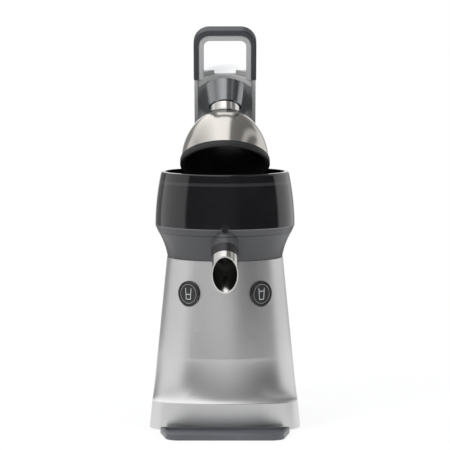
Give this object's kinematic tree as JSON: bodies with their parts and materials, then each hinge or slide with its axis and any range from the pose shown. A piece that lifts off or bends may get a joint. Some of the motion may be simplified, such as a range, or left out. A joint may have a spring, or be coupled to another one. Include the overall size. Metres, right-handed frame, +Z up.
{
  "type": "citrus press juicer",
  "caption": "Lever citrus press: tapered metal body with motor-driven reamer in a dark bowl, slant-cut spout, drip tray and a hinged loop-handled arm carrying a pressing bell.",
  "frame": {"origin": "on the table under the spindle axis, midway between the tray's front and the body's rear", "axes": "+Z up along the spindle, -Y towards the user, +X to the user's right"},
  "size_m": [0.1748, 0.2654, 0.4651],
  "materials": {
    "brushed_aluminium": "brushed",
    "dark_plastic": "satin",
    "smoke_gloss": "gloss",
    "grey_plastic": "satin",
    "soft_grip": "soft",
    "black_rubber": "matt",
    "stainless": "brushed",
    "bright_steel": "polished",
    "plain_steel": "plain",
    "bronze": "plain",
    "black_plastic": "satin",
    "board_green": "matt"
  },
  "bodies": {
    "housing": {"body_shell": "brushed_aluminium", "base_plate": "dark_plastic", "rubber_feet": "black_rubber", "base_screws": "plain_steel", "drive_posts": "plain_steel", "drive_plate": "plain_steel", "plate_screws": "plain_steel", "motor_can": "plain_steel", "motor_stator": "plain_steel", "lower_bearing": "plain_steel", "upper_bearing": "plain_steel", "top_deck": "dark_plastic", "bowl_base": "dark_plastic", "bowl_floor": "dark_plastic", "spindle_sleeve": "dark_plastic", "spindle_seal": "black_rubber", "strainer": "stainless", "bowl_gasket": "black_rubber", "bowl_cover": "smoke_gloss", "spout_tube": "stainless", "spout_collar": "black_plastic", "button_bezel_left": "black_plastic", "button_bezel_right": "black_plastic", "button_spring_left": "plain_steel", "button_spring_right": "plain_steel", "button_switch_left": "black_plastic", "button_switch_right": "black_plastic", "rear_column": "dark_plastic", "column_screws": "plain_steel", "hinge_bushes": "bronze", "return_spring": "plain_steel", "lever_switch": "black_plastic", "mains_inlet": "black_plastic", "control_board": "board_green", "power_relay": "black_plastic"},
    "lever": {"arm_frame": "grey_plastic", "arm_back_cover": "grey_plastic", "handle_loop": "grey_plastic", "handle_grip": "soft_grip", "stem_carrier": "grey_plastic", "bell_stem": "plain_steel", "bell_collar": "bright_steel", "bell_dome": "stainless", "bell_liner": "black_plastic", "bell_rim": "black_rubber", "stem_nut": "plain_steel", "hinge_pin": "bright_steel", "pin_clips": "plain_steel"},
    "spindle": {"reamer": "dark_plastic", "drive_spindle": "plain_steel", "drive_pin": "plain_steel", "drive_gear": "black_plastic"},
    "rotor": {"motor_rotor": "plain_steel", "motor_pinion": "plain_steel"},
    "left_button": {"button_cap_left": "black_plastic"},
    "right_button": {"button_cap_right": "black_plastic"},
    "tray": {"drip_tray": "dark_plastic"}
  },
  "joints": [
    {"name": "lever_swing", "type": "hinge", "parent": "housing", "child": "lever", "pos_m": [0, 0.106, 0.293], "axis": [1, 0, 0], "range_deg": [0, 30], "stiffness_Nm_per_rad": 1.6, "springref_deg": -40.11, "deforming": ["return_spring"]},
    {"name": "spindle_turn", "type": "hinge", "parent": "housing", "child": "spindle", "pos_m": [0, 0, 0], "axis": [0, 0, 1], "continuous": true},
    {"name": "rotor_turn", "type": "hinge", "parent": "housing", "child": "rotor", "pos_m": [0, 0.042, 0], "axis": [0, 0, 1], "continuous": true},
    {"name": "left_button_press", "type": "slide", "parent": "housing", "child": "left_button", "axis": [0.5878, 0.809, 0], "range_m": [0, 0.002], "stiffness_N_per_m": 300, "springref_m": -0.002, "deforming": ["button_spring_left"]},
    {"name": "right_button_press", "type": "slide", "parent": "housing", "child": "right_button", "axis": [-0.5878, 0.809, 0], "range_m": [0, 0.002], "stiffness_N_per_m": 300, "springref_m": -0.002, "deforming": ["button_spring_right"]},
    {"name": "tray_slide", "type": "slide", "parent": "housing", "child": "tray", "axis": [0, -1, 0], "range_m": [0, 0.06]}
  ],
  "couplings": [
    {"joint": "rotor_turn", "follows": "spindle_turn", "ratio": -6}
  ]
}
